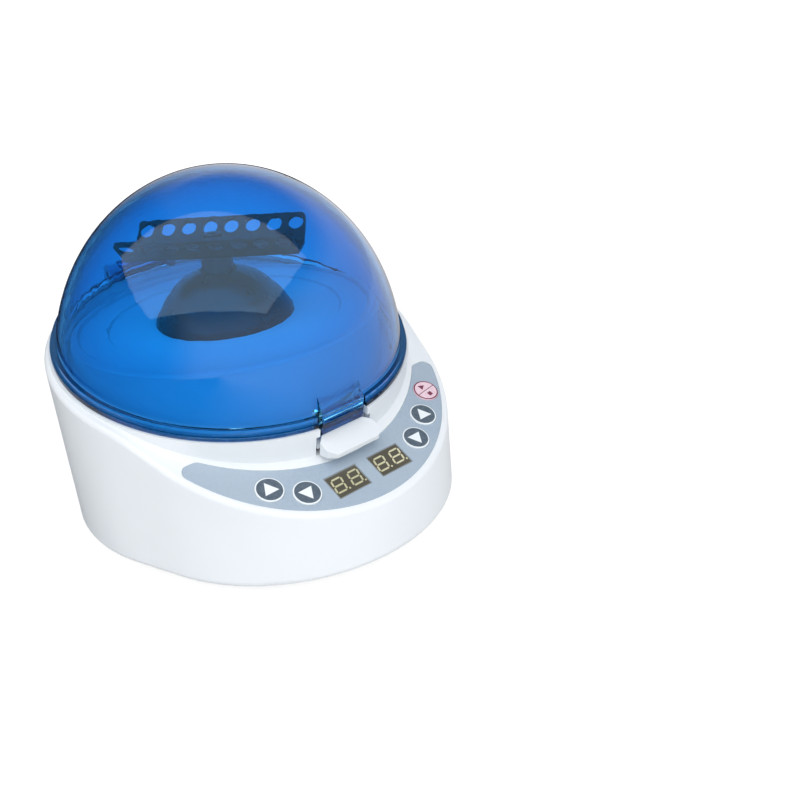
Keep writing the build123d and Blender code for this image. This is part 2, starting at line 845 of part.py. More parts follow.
def latch_spring():
    # A coil of round wire around the latch post, between the plate and the wall behind it
    wire = 0.45
    coil = 2.2
    length = latch_plate_rear - latch_rail_rear - 0.2 - wire
    path = Helix(pitch=length / 6, height=length, radius=coil)
    start = path.position_at(0)
    way = path.tangent_at(0)
    section = Plane(origin=start, z_dir=way) * Circle(wire / 2)
    shape = sweep(section, path=path)
    middle = -(latch_plate_top + latch_plate_bottom) / 2
    return in_lid(Pos(0, -latch_plate_rear + 0.1 + wire / 2, middle) * Rot(-90, 0, 0) * shape)


# Front panel

def panel_overlay():
    shape = panel_slab(panel_region(0.1), -overlay_recess, -overlay_recess + overlay_thickness)
    for (bx, by), radius in buttons.values():
        shape -= in_panel(rod(radius + button_play, -6, 5, bx, by))
    for wx in windows.values():
        w = window_width / 2 + 0.15
        h = window_height / 2 + 0.15
        shape -= in_panel(block(wx - w, wx + w, -window_down - h, -window_down + h, -6, 5))
    return shape


def panel_button(place, radius):
    x, y = place
    cap = rod(radius, -wall - 0.4, button_rise, x, y)
    top_edge = cap.edges().filter_by(GeomType.CIRCLE).sort_by(Axis.Z)[-1]
    cap = fillet(top_edge, 0.35)
    skirt = rod(radius + 0.9, -wall - 1.1, -wall - 0.3, x, y)
    tip = -board_depth + tact_height + button_travel + 0.05
    stem = rod(1.6, tip, -wall - 0.5, x, y)
    return in_panel(cap + skirt + stem)


def tact_switches():
    shapes = []
    for (x, y), radius in buttons.values():
        case = block(x - 3, x + 3, y - 3, y + 3, -board_depth, -board_depth + 3.4)
        knob = rod(1.75, -board_depth + 3, -board_depth + tact_height, x, y)
        shapes.append(in_panel(case + knob))
    return group(shapes)


def window_lens(wx):
    w = window_width / 2
    h = window_height / 2
    lens = block(wx - w, wx + w, -window_down - h, -window_down + h, -wall + 0.2, -0.2)
    w2, h2 = w + 0.8, h + 0.8
    lip = block(wx - w2, wx + w2, -window_down - h2, -window_down + h2, -wall - 0.8, -wall)
    neck = block(wx - w, wx + w, -window_down - h, -window_down + h, -wall - 0.5, -wall + 0.5)
    return in_panel(lens + lip + neck)


def digit_module(wx):
    w = window_width / 2 - 0.2
    h = window_height / 2 - 0.2
    low = -board_depth
    case = block(wx - w, wx + w, -window_down - h, -window_down + h, low, -wall - 1.0)
    digits = []
    for centre in (wx - 3.6, wx + 3.4):
        for rise in (-3.4, 0.0, 3.4):
            x = centre + rise * 0.08
            y = -window_down + rise
            digits.append(block(x - 1.5, x + 1.5, y - 0.35, y + 0.35, -wall - 1.3, -wall - 0.9))
        for side in (-1, 1):
            for rise in (-1.7, 1.7):
                x = centre + side * 2.1 + rise * 0.08
                y = -window_down + rise
                digits.append(block(x - 0.35, x + 0.35, y - 1.3, y + 1.3, -wall - 1.3, -wall - 0.9))
    for part in digits:
        case += part
    return in_panel(case)


def display_board():
    region = outline(-wall - 1.5)
    region &= Pos(0, panel_y + board_reach - rear_radius) * Rectangle(2 * board_half_width, 2 * rear_radius)
    shape = panel_slab(region, -board_depth - board_thickness, -board_depth)
    for sx, sy in board_screw_places:
        shape -= in_panel(rod(screw_radius + 0.2, -20, 0, sx, sy))
    return shape


def board_screws():
    head = -board_depth - board_thickness
    return group([in_panel(screw(head, -wall - 1.0, x, y, 2.4)) for x, y in board_screw_places])


# Lid switch on the display board, under the hook

def lid_switch():
    case = block(-6.4, 6.4, switch_y - 2.9, switch_y + 2.9, -board_depth, -switch_top)
    return in_panel(case - block(-1.3, 1.3, switch_y - 1.3, switch_y + 1.3, -switch_top - 1.6, 0))


def lid_switch_plunger():
    top = -switch_top + plunger_rise
    return in_panel(block(-1.2, 1.2, switch_y - 1.2, switch_y + 1.2, -switch_top - 1.5, top))


# Base plate, feet and screws

def base_plate():
    shape = prism(-wall - base_gap, foot_height, base_top)
    for x, y in motor_posts:
        post = rod(4.0, base_top - 0.5, motor_top_z - isolator_height, x, y)
        foot = rod(motor_post_foot_radius, base_top - 0.5, base_top + 3, x, y)
        shape += post + foot
        shape -= rod(screw_radius + press, motor_top_z - isolator_height - 13, 90, x, y)
    for x, y in circuit_posts():
        shape += rod(3.0, base_top - 0.5, board_low_z, x, y)
        shape -= rod(screw_radius + press, board_low_z - 6, board_low_z + 1, x, y)
    for x, y in post_places:
        shape -= rod(screw_radius + 0.2, 0, 10, x, y)
        shape -= rod(screw_head_radius + 0.3, 0, foot_height + 1.0, x, y)
    for side in (-1, 1):
        for k in range(5):
            x = side * vent_middle_x
            y = vent_y + vent_pitch * (k - 2)
            w, h = vent_length / 2, vent_width / 2
            shape -= block(x - w, x + w, y - h, y + h, 0, base_top + 1)
    for x, y in foot_places:
        shape -= rod(2.5 + press, 0, base_top + 1, x, y)
    return shape


def rubber_feet():
    feet = []
    for x, y in foot_places:
        pad = rod(foot_radius, 0, foot_height, x, y)
        pad = fillet(pad.edges().filter_by(GeomType.CIRCLE).sort_by(Axis.Z)[0], 0.8)
        feet.append(pad + rod(2.5, foot_height - 0.5, base_top + 0.8, x, y))
    return group(feet)


def base_screws():
    return group([screw(foot_height + 1.0, base_top + 14, x, y) for x, y in post_places])


# Circuit boards in the base

circuit_inner_x = round(motor_post_circle * cos(radians(30)) + motor_post_foot_radius + board_post_gap, 2)
circuit_outer_x = rear_radius - board_edge_gap
circuit_middle_x = (circuit_inner_x + circuit_outer_x) / 2
control_board_box = (-circuit_outer_x, -circuit_inner_x, circuit_board_front_y, circuit_board_rear_y)
power_board_box = (circuit_inner_x, circuit_outer_x, circuit_board_front_y, circuit_board_rear_y)


def circuit_posts():
    places = []
    for x0, x1, y0, y1 in (control_board_box, power_board_box):
        for x in (x0 + 4, x1 - 4):
            for y in (y0 + 4, y1 - 4):
                places.append((x, y))
    return places


def circuit_board(box):
    x0, x1, y0, y1 = box
    shape = block(x0, x1, y0, y1, board_low_z, board_low_z + board_thickness)
    for x, y in circuit_posts():
        shape -= rod(screw_radius + 0.2, 0, 30, x, y)
    return shape


def circuit_screws():
    head = board_low_z + board_thickness
    return group([screw(head, board_low_z - 5, x, y) for x, y in circuit_posts()])


def transformer():
    z = board_low_z + board_thickness
    x = circuit_middle_x + 1
    core = block(x - 10, x + 10, -26, -4, z, z + 18)
    core -= block(x - 11, x - 6.5, -21, -9, z + 4, z + 14) + block(x + 6.5, x + 11, -21, -9, z + 4, z + 14)
    bobbin = block(x - 9, x + 9, -20.5, -9.5, z + 4.5, z + 13.5)
    return core + bobbin


def capacitors():
    z = board_low_z + board_thickness
    cans = []
    m = circuit_middle_x
    places = [(m - 5, 8.0, 7.0, 24.0), (m + 8, 4.0, 4.0, 15.0), (m + 8, 14.0, 4.0, 15.0)]
    places.append((-m - 8, -6.0, 3.2, 11.0))
    for x, y, r, h in places:
        can = rod(r, z, z + h, x, y)
        ring = rod(r + 1, z + 1.6, z + 2.3, x, y) - rod(r - 0.4, 0, 90, x, y)
        can -= ring
        can -= block(x - r, x + r, y - 0.15, y + 0.15, z + h - 0.3, z + h + 1)
        cans.append(can)
    return group(cans)


def heat_sink():
    z = board_low_z + board_thickness
    left = -circuit_middle_x - 13
    shape = block(left, left + 26, 8, 10.5, z, z + 24)
    for k in range(7):
        x = left + 4 * k
        shape += block(x, x + 1.4, 10, 19, z, z + 24)
    return shape


def power_transistors():
    z = board_low_z + board_thickness
    shapes = []
    for x in (-circuit_middle_x - 6, -circuit_middle_x + 6):
        body = block(x - 5, x + 5, 3.4, 8, z + 5, z + 20) - rod_y(1.7, 0, 12, x, z + 17)
        for pin in (-2.5, 0, 2.5):
            body += block(x + pin - 0.4, x + pin + 0.4, 5.2, 5.8, z, z + 5.5)
        shapes.append(body)
    return group(shapes)


def connector_headers():
    z = board_low_z + board_thickness
    shapes = []
    m = circuit_middle_x
    for x, y in ((-m, -29.0), (-m + 11, -10.0), (-m + 11, -20.0), (m, 22.0)):
        shell = block(x - 3, x + 3, y - 3.6, y + 3.6, z, z + 7)
        shell -= block(x - 2.2, x + 2.2, y - 2.8, y + 2.8, z + 1.5, z + 8)
        for pin in (-1.3, 1.3):
            shell += block(x - 0.32, x + 0.32, y + pin - 0.32, y + pin + 0.32, z + 1, z + 5.5)
        shapes.append(shell)
    return group(shapes)


# Power inlet with its fuse drawer

drawer_low = inlet_z + 5.6
drawer_high = inlet_z + 12.4
blade_places = [(-7.0, -5.4), (0.0, -1.6), (7.0, -5.4)]


def power_inlet():
    y = rear_panel_y
    flange = block(inlet_x - 16, inlet_x + 16, y, y + 2.5, inlet_z - 14, inlet_z + 14)
    flange = fillet(flange.edges().filter_by(Axis.Y), 2.0)
    shape = flange + block(inlet_x - 13.6, inlet_x + 13.6, y - 20.5, y + 1, inlet_z - 12.8, inlet_z + 13.2)
    socket = make_face(Polyline(
        (inlet_x - 12, inlet_z - 11.8), (inlet_x + 12, inlet_z - 11.8), (inlet_x + 12, inlet_z - 0.2),
        (inlet_x + 8, inlet_z + 4.0), (inlet_x - 8, inlet_z + 4.0), (inlet_x - 12, inlet_z - 0.2), close=True,
    ))
    shape -= Pos(0, y + 3, 0) * extrude(Plane.XZ * socket, amount=17.5)
    slot = block(inlet_x - 11.2, inlet_x + 11.2, y - 17.5, y + 3, drawer_low, drawer_high)
    shape -= slot
    for dx, dz in blade_places:
        x, z = inlet_x + dx, inlet_z + dz
        shape -= block(x - 1 - press, x + 1 + press, y - 30, y, z - 2 - press, z + 2 + press)
    return shape


def inlet_blades():
    y = rear_panel_y
    blades = []
    for dx, dz in blade_places:
        x, z = inlet_x + dx, inlet_z + dz
        blade = block(x - 1, x + 1, y - 26, y - 2.6, z - 2, z + 2)
        blades.append(blade - rod_x(0.8, x - 2, x + 2, y - 24, z))
    return group(blades)


def fuse_drawer():
    y = rear_panel_y
    low, high = drawer_low + 0.15, drawer_high - 0.15
    shape = block(inlet_x - 11.05, inlet_x + 11.05, y - 17.2, y + 2.6, low, high)
    shape += block(inlet_x - 11.05, inlet_x + 11.05, y + 2.5, y + 3.6, low + 0.4, high - 0.4)
    shape -= block(inlet_x - 10.4, inlet_x + 10.4, y - 14.6, y - 8.8, low + 0.6, high + 1)
    shape -= block(inlet_x - 4, inlet_x + 4, y + 3.0, y + 5, low + 1.6, high - 1.6)
    return shape


def fuse():
    y = rear_panel_y - 11.7
    z = drawer_low + 0.75 + 2.65
    shape = rod_x(2.2, inlet_x - 9, inlet_x + 9, y, z)
    shape += rod_x(2.6, inlet_x - 10, inlet_x - 5, y, z) + rod_x(2.6, inlet_x + 5, inlet_x + 10, y, z)
    return shape


# Rocker switch

pivot_y = rear_panel_y - 1.5


def rocker_bezel():
    y = rear_panel_y
    flange = block(rocker_x - 10.8, rocker_x + 10.8, y, y + 1.8, rocker_z - 7.6, rocker_z + 7.6)
    flange = fillet(flange.edges().filter_by(Axis.Y), 1.2)
    shape = flange + block(rocker_x - 9.3, rocker_x + 9.3, y - 15, y + 1, rocker_z - 6.2, rocker_z + 6.2)
    shape -= block(rocker_x - 8.4, rocker_x + 8.4, y - 6.0, y + 3, rocker_z - 5.2, rocker_z + 5.2)
    for dx in (-5.0, 0.0, 5.0):
        x = rocker_x + dx
        shape += block(x - 0.4, x + 0.4, y - 22, y - 14.5, rocker_z - 2.4, rocker_z + 2.4)
    return shape - rod(1.2 + turn_play, rocker_z - 6.0, rocker_z + 6.0, rocker_x, pivot_y)


def rocker_paddle():
    face = make_face(Polyline(
        (-7.6, 3.0), (0, 4.2), (7.6, 3.0), (7.0, 0), (3.0, -3.0), (-3.0, -3.0), (-7.0, 0), close=True,
    ))
    shape = Pos(0, 0, -5.0) * extrude(face, amount=10.0)
    shape += rod(1.2, -5.9, 5.9)
    return Pos(rocker_x, pivot_y, rocker_z) * Rot(0, 0, rocker_tilt) * shape


def main():
    nodes = {
        "upper_housing": upper_housing,
        "base_plate": base_plate,
        "rubber_feet": rubber_feet,
        "base_screws": base_screws,
        "chamber_bowl": chamber_bowl,
        "chamber_screws": chamber_screws,
        "motor_cover": motor_cover,
        "motor": motor,
        "motor_plate": motor_plate,
        "motor_isolators": motor_isolators,
        "motor_screws": motor_screws,
        "motor_shaft": motor_shaft,
        "strip_rotor": strip_rotor,
        "rotor_screw": rotor_screw,
        "lid_dome": lid_dome,
        "hinge_pin": hinge_pin,
        "latch_button": latch_button,
        "latch_spring": latch_spring,
        "panel_overlay": panel_overlay,
        "tact_switches": tact_switches,
        "display_board": display_board,
        "board_screws": board_screws,
        "lid_switch": lid_switch,
        "lid_switch_plunger": lid_switch_plunger,
        "control_board": lambda: circuit_board(control_board_box),
        "power_board": lambda: circuit_board(power_board_box),
        "circuit_screws": circuit_screws,
        "transformer": transformer,
        "capacitors": capacitors,
        "heat_sink": heat_sink,
        "power_transistors": power_transistors,
        "connector_headers": connector_headers,
        "power_inlet": power_inlet,
        "inlet_blades": inlet_blades,
        "fuse_drawer": fuse_drawer,
        "fuse": fuse,
        "rocker_bezel": rocker_bezel,
        "rocker_paddle": rocker_paddle,
    }
    for name, wx in windows.items():
        nodes[f"{name}_window"] = lambda wx=wx: window_lens(wx)
        nodes[f"{name}_digits"] = lambda wx=wx: digit_module(wx)
    for name, (place, radius) in buttons.items():
        nodes[name] = lambda place=place, radius=radius: panel_button(place, radius)
    for name, build in nodes.items():
        print("building", name)
        save(name, build())


main()
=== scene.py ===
import math
import bmesh
import bpy
import numpy as np
from mathutils import Matrix


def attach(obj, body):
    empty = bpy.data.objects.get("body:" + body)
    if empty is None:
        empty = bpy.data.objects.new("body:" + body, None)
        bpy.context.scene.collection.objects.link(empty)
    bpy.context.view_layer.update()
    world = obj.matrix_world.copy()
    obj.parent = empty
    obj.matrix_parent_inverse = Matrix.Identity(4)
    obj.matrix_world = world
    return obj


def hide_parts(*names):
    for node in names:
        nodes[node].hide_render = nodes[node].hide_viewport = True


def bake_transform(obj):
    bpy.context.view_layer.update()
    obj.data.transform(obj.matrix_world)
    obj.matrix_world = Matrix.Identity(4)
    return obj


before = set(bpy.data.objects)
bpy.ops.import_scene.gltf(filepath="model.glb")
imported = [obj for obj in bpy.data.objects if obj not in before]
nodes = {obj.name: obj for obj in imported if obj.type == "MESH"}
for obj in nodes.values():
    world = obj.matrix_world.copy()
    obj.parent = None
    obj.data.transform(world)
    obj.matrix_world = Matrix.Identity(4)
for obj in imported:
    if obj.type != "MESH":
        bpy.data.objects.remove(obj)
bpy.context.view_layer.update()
print("loaded", len(nodes), "nodes")

mm = 0.001
scene = bpy.context.scene


# The two tilted frames of the machine, in millimetres: the lid's rim plane and the panel's deck plane
lidTilt = math.radians(13.0)
panelTilt = math.radians(26.0)
axisY = 10.0446
lidCentre = (0, axisY - 3.0, 68.0)
panelY = -83.0
panelHeight = 34.5


def tilted(origin, angle):
    # A frame with X across, V up the slope and W standing out of it
    across = np.array([1.0, 0.0, 0.0])
    upSlope = np.array([0.0, math.cos(angle), math.sin(angle)])
    outward = np.array([0.0, -math.sin(angle), math.cos(angle)])
    return {"origin": np.array(origin, float), "axes": np.stack([across, upSlope, outward])}


lidFrame = tilted(lidCentre, lidTilt)
panelFrame = tilted((0, axisY + panelY, panelHeight), panelTilt)
levelFrame = {"origin": np.array([0.0, axisY, 0.0]), "axes": np.eye(3)}


def placed(points, place):
    # Points of a tilted frame in millimetres, as points of the machine in metres
    return (place["origin"] + np.asarray(points, float) @ place["axes"]) * mm


# Mesh making

def meshObject(name, vertices, faces, smooth=True):
    mesh = bpy.data.meshes.new(name)
    mesh.from_pydata(np.asarray(vertices).tolist(), [], faces)
    made = bpy.data.objects.new(name, mesh)
    scene.collection.objects.link(made)
    work = bmesh.new()
    work.from_mesh(mesh)
    bmesh.ops.remove_doubles(work, verts=work.verts, dist=1e-7)
    bmesh.ops.recalc_face_normals(work, faces=work.faces)
    work.to_mesh(mesh)
    work.free()
    mesh.polygons.foreach_set("use_smooth", np.full(len(mesh.polygons), smooth))
    mesh.update()
    return made


def gridFaces(rows, columns, wrapRows=False, wrapColumns=False):
    # Quads between neighbouring lines of a grid; a wrapped way joins its last line to its first
    i = np.arange(rows if wrapRows else rows - 1)
    j = np.arange(columns if wrapColumns else columns - 1)
    i, j = np.meshgrid(i, j, indexing="ij")
    iNext, jNext = (i + 1) % rows, (j + 1) % columns
    quads = np.stack([i * columns + j, iNext * columns + j, iNext * columns + jNext, i * columns + jNext], -1)
    return quads.reshape(-1, 4).tolist()


def turnedSurface(name, profile, place, steps=192):
    # A closed profile turned about an axis: each of its points (radius, height) goes round by
    # x = radius cos t, y = radius sin t and z = height
    profile = np.asarray(profile, float)
    turn = np.linspace(0, 2 * np.pi, steps, endpoint=False)[:, None]
    x = profile[:, 0] * np.cos(turn)
    y = profile[:, 0] * np.sin(turn)
    z = np.broadcast_to(profile[:, 1], x.shape)
    points = placed(np.stack([x, y, z], -1).reshape(-1, 3), place)
    faces = gridFaces(steps, len(profile), wrapRows=True, wrapColumns=True)
    return meshObject(name, points, faces)


def smoothCurve(points, steps=8):
    # A Catmull-Rom curve through the points: each span blends its two ends with the slopes at them
    points = np.asarray(points, float)
    padded = np.concatenate([2 * points[:1] - points[1:2], points, 2 * points[-1:] - points[-2:-1]])
    t = np.linspace(0, 1, steps, endpoint=False)[:, None]
    spans = []
    for k in range(len(points) - 1):
        a, b, c, d = padded[k:k + 4]
        span = 2 * b + (c - a) * t + (2 * a - 5 * b + 4 * c - d) * t ** 2 + (3 * b - a - 3 * c + d) * t ** 3
        spans.append(0.5 * span)
    return np.concatenate(spans + [points[-1:]])


def slab(name, plan, low, high, place):
    # A flat outline carried straight up from low to high, with a face at each end
    plan = np.asarray(plan, float)
    n = len(plan)
    bottom = np.column_stack([plan, np.full(n, low)])
    top = np.column_stack([plan, np.full(n, high)])
    faces = gridFaces(2, n, wrapColumns=True)
    faces += [list(range(n))[::-1], list(range(n, 2 * n))]
    return meshObject(name, placed(np.concatenate([bottom, top]), place), faces, smooth=False)


def joined(name, parts):
    # Several pieces made one, keeping their materials
    bpy.ops.object.select_all(action="DESELECT")
    for part in parts:
        part.select_set(True)
    bpy.context.view_layer.objects.active = parts[0]
    bpy.ops.object.join()
    parts[0].name = name
    parts[0].data.name = name
    return parts[0]


def dress(piece, material, body=None, stands=()):
    piece.data.materials.clear()
    piece.data.materials.append(material)
    if body:
        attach(piece, body)
    if stands:
        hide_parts(*stands)
    return piece


# Material making

class Value:
    # A number or colour socket. Arithmetic on it adds the Math nodes that it needs.
    def __init__(self, paint, socket):
        self.paint = paint
        self.socket = socket

    def calc(self, operation, *others):
        inputs = {k: value for k, value in enumerate((self, *others))}
        return self.paint.node("ShaderNodeMath", {"operation": operation}, inputs)

    def __add__(self, other):
        return self.calc("ADD", other)

    __radd__ = __add__

    def __mul__(self, other):
        return self.calc("MULTIPLY", other)

    __rmul__ = __mul__

    def __sub__(self, other):
        return self.calc("SUBTRACT", other)

    def __rsub__(self, other):
        return (self * -1.0) + other

    def __pow__(self, other):
        return self.calc("POWER", other)

    def step(self, low, high):
        # 0 below low and 1 above high, with a smooth rise between
        settings = {"interpolation_type": "SMOOTHSTEP"}
        inputs = {"Value": self, "From Min": low, "From Max": high, "To Min": 0.0, "To Max": 1.0}
        return self.paint.node("ShaderNodeMapRange", settings, inputs)


class Paint:
    # A material with one Principled shader, and the few calls that its pattern needs
    def __init__(self, name, **sockets):
        self.material = bpy.data.materials.new(name)
        self.material.use_nodes = True
        self.tree = self.material.node_tree
        self.tree.nodes.clear()
        self.output = self.tree.nodes.new("ShaderNodeOutputMaterial")
        self.shader = self.tree.nodes.new("ShaderNodeBsdfPrincipled")
        self.tree.links.new(self.shader.outputs[0], self.output.inputs["Surface"])
        self.set(**sockets)

    def node(self, kind, settings=None, inputs=None, output=0):
        made = self.tree.nodes.new(kind)
        for key, value in (settings or {}).items():
            setattr(made, key, value)
        for key, value in (inputs or {}).items():
            self.feed(made.inputs[key], value)
        return made if output is None else Value(self, made.outputs[output])

    def feed(self, socket, value):
        if isinstance(value, Value):
            self.tree.links.new(value.socket, socket)
        elif isinstance(value, (tuple, list)) and socket.type == "RGBA" and len(value) == 3:
            socket.default_value = (*value, 1.0)
        else:
            socket.default_value = value

    def set(self, **sockets):
        for key, value in sockets.items():
            self.feed(self.shader.inputs[key.replace("_", " ")], value)

    def place(self):
        return self.node("ShaderNodeTexCoord", output="Object")

    def noise(self, scale, detail=3.0, roughness=0.5, vector=None):
        inputs = {"Vector": vector or self.place(), "Scale": scale, "Detail": detail, "Roughness": roughness}
        return self.node("ShaderNodeTexNoise", None, inputs)

    def mix(self, factor, first, second):
        inputs = {"Factor": factor, 6: first, 7: second}
        return self.node("ShaderNodeMix", {"data_type": "RGBA"}, inputs, output=2)

    def bump(self, height, strength, distance):
        inputs = {"Height": height, "Strength": strength, "Distance": distance}
        self.set(Normal=self.node("ShaderNodeBump", None, inputs))

    def ray(self, kind):
        return self.node("ShaderNodeLightPath", output=kind)

    def cover(self, factor, top):
        # Lays another shader over what the surface shows so far, as far as the factor says
        surface = self.output.inputs["Surface"]
        below = Value(self, surface.links[0].from_socket)
        self.feed(surface, self.node("ShaderNodeMixShader", None, {0: factor, 1: below, 2: top}))

    def dot(self, vector, axis):
        inputs = {0: vector, 1: tuple(float(a) for a in axis)}
        return self.node("ShaderNodeVectorMath", {"operation": "DOT_PRODUCT"}, inputs, output="Value")

    def local(self, centre, place):
        # How far a point lies from a centre along the three axes of a tilted frame, in millimetres
        middle = placed([centre], place)[0]
        inputs = {0: self.place(), 1: tuple(middle.tolist())}
        offset = self.node("ShaderNodeVectorMath", {"operation": "SUBTRACT"}, inputs)
        return [self.dot(offset, axis / mm) for axis in place["axes"]]


def moulded(name, color, shade, roughness, grain, gloss=0.5, coat=0.0):
    # Moulded plastic: a faint cloud of tone, a fine spark-eroded grain and uneven gloss
    paint = Paint(name, Specular_IOR_Level=gloss, Coat_Weight=coat, Coat_Roughness=0.12)
    cloud = paint.noise(18.0, 2.0).step(0.35, 0.7)
    paint.set(Base_Color=paint.mix(cloud, color, shade))
    fine = paint.noise(1400.0, 2.0, 0.6)
    paint.set(Roughness=paint.noise(60.0, 3.0) * 0.10 + (roughness - 0.05))
    paint.bump(fine, grain, 0.00004)
    return paint.material


def metal(name, color, roughness, streak=(1.0, 1.0, 40.0)):
    # Machined or drawn metal: fine lines along one way that change tone and gloss
    paint = Paint(name, Metallic=1.0)
    inputs = {"Vector": paint.place(), "Scale": streak}
    stretched = paint.node("ShaderNodeMapping", {"vector_type": "POINT"}, inputs)
    lines = paint.noise(220.0, 4.0, 0.6, stretched)
    dark = tuple(0.72 * c for c in color)
    paint.set(Base_Color=paint.mix(lines.step(0.3, 0.75), dark, color))
    paint.set(Roughness=lines * 0.18 + (roughness - 0.09))
    paint.bump(lines, 0.15, 0.00003)
    return paint.material


print("materials")

shellWhite = moulded("shellWhite", (0.83, 0.86, 0.89), (0.80, 0.835, 0.87), 0.36, 0.16)
bowlWhite = moulded("bowlWhite", (0.86, 0.87, 0.88), (0.82, 0.84, 0.86), 0.42, 0.12)
rotorBlack = moulded("rotorBlack", (0.012, 0.012, 0.014), (0.02, 0.02, 0.023), 0.42, 0.25)
partBlack = moulded("partBlack", (0.016, 0.016, 0.018), (0.026, 0.026, 0.028), 0.45, 0.3)
headerCream = moulded("headerCream", (0.80, 0.77, 0.68), (0.74, 0.71, 0.62), 0.4, 0.2)
screwSteel = metal("screwSteel", (0.60, 0.60, 0.61), 0.32)
shaftSteel = metal("shaftSteel", (0.74, 0.74, 0.76), 0.18, (1.0, 1.0, 0.05))
pinBrass = metal("pinBrass", (0.78, 0.66, 0.40), 0.28)
sinkMetal = metal("sinkMetal", (0.70, 0.71, 0.73), 0.38)


def bellBlack():
    # Glossy black plastic with a spark-eroded skin that breaks the highlight into glints
    paint = Paint("bellBlack", Base_Color=(0.010, 0.010, 0.013), Specular_IOR_Level=0.6)
    pebble = paint.noise(620.0, 3.0, 0.55)
    paint.set(Roughness=paint.noise(140.0, 2.0) * 0.12 + 0.20)
    paint.bump(pebble, 0.55, 0.00009)
    return paint.material


def rubberBlack():
    paint = Paint("rubberBlack", Roughness=0.8, Specular_IOR_Level=0.3)
    cloud = paint.noise(90.0, 4.0).step(0.3, 0.7)
    paint.set(Base_Color=paint.mix(cloud, (0.018, 0.018, 0.018), (0.035, 0.034, 0.033)))
    paint.bump(paint.noise(900.0, 3.0), 0.4, 0.00008)
    return paint.material


def boardGreen():
    # A lacquered circuit board: straight copper tracks that show lighter under the green
    paint = Paint("boardGreen", Roughness=0.35, Coat_Weight=0.3, Coat_Roughness=0.2)
    inputs = {
        "Vector": paint.place(),
        "Scale": 260.0,
        "Mortar Size": 0.10,
        "Brick Width": 3.0,
        "Row Height": 0.5,
    }
    tracks = paint.node("ShaderNodeTexBrick", None, inputs, output="Fac")
    paint.set(Base_Color=paint.mix(tracks, (0.012, 0.10, 0.045), (0.03, 0.20, 0.09)))
    paint.bump(tracks, 0.3, 0.00003)
    return paint.material


def overlayFilm():
    # Printed film: grey-blue ink with a fine speckle and slow changes of tone
    paint = Paint("overlayFilm", Specular_IOR_Level=0.45)
    slow = paint.noise(30.0, 3.0).step(0.3, 0.7)
    speckle = paint.noise(900.0, 2.0, 0.7).step(0.35, 0.65)
    tone = paint.mix(slow, (0.33, 0.42, 0.52), (0.38, 0.46, 0.55))
    paint.set(Base_Color=paint.mix(speckle * 0.35, tone, (0.43, 0.51, 0.59)))
    paint.set(Roughness=speckle * 0.06 + 0.34)
    paint.bump(speckle, 0.10, 0.00003)
    return paint.material


domeStyle = {
    "straight": (0.085, 0.51, 0.93),
    "slanted": (0.004, 0.055, 0.42),
    # The edge-on colour also paints the shade along the foot of the rim
    "edgeOnAndLipShade": (0.002, 0.015, 0.07),
    "rimBand": (0.20, 0.62, 0.96),
    "shadow": (0.30, 0.70, 0.95),
    "bandTop": (5.2, 4.4),
    "bandReach": (67.0, 69.0),
    "lipShadeTop": (1.7, 1.1),
    "edgeRise": (0.6, 0.92),
}


def tintedDome():
    # Clear blue plastic, deeper where it is seen edge on and paler in the rim's band. The dark line at the
    # foot of the rim is painted shade for the shadowed gap under the rim, partly the thicker flange's deeper
    # blue.
    # Light from the lamps passes through it tinted.
    style = domeStyle
    paint = Paint("tintedDome", Roughness=0.0, IOR=1.49, Transmission_Weight=1.0, Specular_IOR_Level=0.42)
    edge = paint.node("ShaderNodeLayerWeight", None, {"Blend": 0.5}, output="Facing")
    u, v, w = paint.local((0.0, 0.0, 0.0), lidFrame)
    band = w.step(*style["bandTop"]) * ((u * u + v * v) ** 0.5).step(*style["bandReach"])
    # Painted shade: the foot of the rim is darkened for the shadowed gap under it, partly for the thicker
    # flange's deeper blue
    lipShade = band * w.step(*style["lipShadeTop"]) * 0.9
    tint = paint.mix(edge ** 1.1, style["straight"], style["slanted"])
    tint = paint.mix(band * 0.85, tint, style["rimBand"])
    deepAndLipShade = (edge.step(*style["edgeRise"]) * (1.0 - band)).calc("MAXIMUM", lipShade)
    paint.set(Base_Color=paint.mix(deepAndLipShade, tint, style["edgeOnAndLipShade"]))
    clear = paint.node("ShaderNodeBsdfTransparent", None, {"Color": style["shadow"]})
    paint.cover(paint.ray("Is Shadow Ray"), clear)
    return paint.material


keyStyle = {
    "radius": 5.45,
    "ring": 0.55,
    "tip": 3.5,
    "base": 1.75,
    "halfBase": 2.95,
    "edge": 0.06,
}


def arrowKey(name, centre, angle):
    # Dark disc inside a white ring, with a white triangle that points along the angle
    paint = Paint(name, Specular_IOR_Level=0.45)
    u, v, w = paint.local((*centre, 0.0), panelFrame)
    soft = keyStyle["edge"]
    reach = (u * u + v * v) ** 0.5
    discRadius = keyStyle["radius"] - keyStyle["ring"]
    disc = reach.step(discRadius + soft, discRadius - soft)
    along = u * math.cos(angle) + v * math.sin(angle)
    aside = (v * math.cos(angle) - u * math.sin(angle)).calc("ABSOLUTE")
    taper = keyStyle["halfBase"] / (keyStyle["tip"] + keyStyle["base"])
    sideGap = (along * -taper) + taper * keyStyle["tip"] - aside
    arrow = sideGap.step(-soft, soft) * (along + keyStyle["base"]).step(-soft, soft)
    speckle = paint.noise(800.0, 2.0).step(0.3, 0.7)
    dark = paint.mix(speckle, (0.075, 0.105, 0.14), (0.11, 0.145, 0.185))
    shown = paint.mix(disc * (1.0 - arrow), (0.83, 0.88, 0.91), dark)
    paint.set(Base_Color=shown, Roughness=speckle * 0.05 + 0.36)
    paint.bump(speckle, 0.08, 0.00003)
    return paint.material


startStyle = {
    "ring": (4.62, 5.16),
    "barReach": 4.75,
    "barHalf": 0.16,
    "barAngle": math.radians(9.0),
    "signGap": 2.3,
    "playTip": 0.8,
    "playTaper": 0.55,
    "playBase": 1.1,
    "stopHalf": 0.95,
    "edge": 0.06,
    "ink": (0.20, 0.035, 0.075),
}


